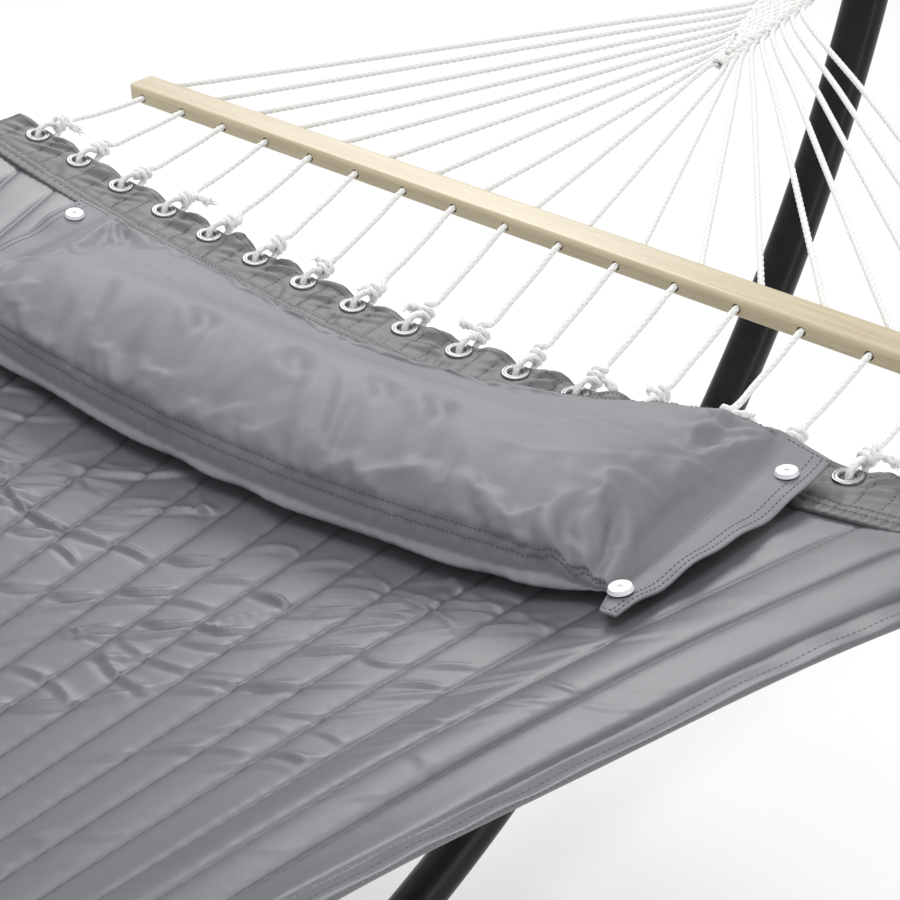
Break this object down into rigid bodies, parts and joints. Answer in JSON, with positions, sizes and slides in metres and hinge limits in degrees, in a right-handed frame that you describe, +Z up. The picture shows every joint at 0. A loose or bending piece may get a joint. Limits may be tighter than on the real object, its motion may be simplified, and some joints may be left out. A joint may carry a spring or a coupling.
{
  "type": "hammock on stand",
  "caption": "Quilted grey hammock with wooden spreader bars, white ropes and a pillow held on by press studs, hung on a free-standing curved black steel stand.",
  "frame": {"origin": "on the floor under the middle of the stand", "axes": "+X towards the pillow end, +Z up, Y across the bed"},
  "size_m": [3.5686, 1.112, 1.0918],
  "materials": {
    "black_steel": "gloss",
    "zinc_steel": "satin",
    "black_rubber": "matte",
    "black_plastic": "satin",
    "white_rope": "braided polyester",
    "bar_wood": "clear satin lacquer",
    "nickel_eyelet": "polished nickel",
    "hem_fabric": "woven polyester, semi-matte",
    "bed_fabric": "woven polyester, satin",
    "pillow_fabric": "woven polyester, satin",
    "wadding": "loose polyester wadding",
    "snap_plastic": "gloss"
  },
  "bodies": {
    "stand": {"beam_head": "black_steel", "beam_foot": "black_steel", "beam_sleeve": "black_steel", "beam_bolts": "zinc_steel", "beam_nuts": "zinc_steel", "cross_foot_head": "black_steel", "cross_foot_foot": "black_steel", "boots_head": "black_rubber", "boots_foot": "black_rubber", "foot_bolts": "zinc_steel", "foot_nuts": "zinc_steel", "lower_arm_head": "black_steel", "lower_arm_foot": "black_steel", "upper_arm_head": "black_steel", "upper_arm_foot": "black_steel", "arm_bolts": "zinc_steel", "arm_nuts": "zinc_steel", "arm_plugs": "black_plastic", "eye_bolt_head": "zinc_steel", "eye_bolt_foot": "zinc_steel", "eye_nuts": "zinc_steel", "eye_washers": "zinc_steel"},
    "hammock": {"s_hook_head": "zinc_steel", "s_hook_foot": "zinc_steel", "ring_head": "zinc_steel", "ring_foot": "zinc_steel", "clew_head": "white_rope", "clew_foot": "white_rope", "ropes_head": "white_rope", "ropes_foot": "white_rope", "spreader_bar_head": "bar_wood", "spreader_bar_foot": "bar_wood", "grommets_head": "nickel_eyelet", "grommets_foot": "nickel_eyelet", "hem_head": "hem_fabric", "hem_foot": "hem_fabric", "bed_top_cover": "bed_fabric", "bed_wadding": "wadding", "bed_back_cover": "bed_fabric", "snap_studs": "snap_plastic"},
    "pillow": {"pillow_top_panel": "pillow_fabric", "pillow_back_panel": "pillow_fabric", "pillow_filling": "wadding", "snap_caps": "snap_plastic", "snap_sockets": "snap_plastic"}
  },
  "joints": [
    {"name": "hammock_swing", "type": "hinge", "parent": "stand", "child": "hammock", "pos_m": [0, 0, 0.96562], "axis": [1, 0, 0], "range_deg": [-28, 28]},
    {"name": "pillow_lift", "type": "slide", "parent": "hammock", "child": "pillow", "axis": [0, 0, 1], "range_m": [0, 0.12]}
  ]
}
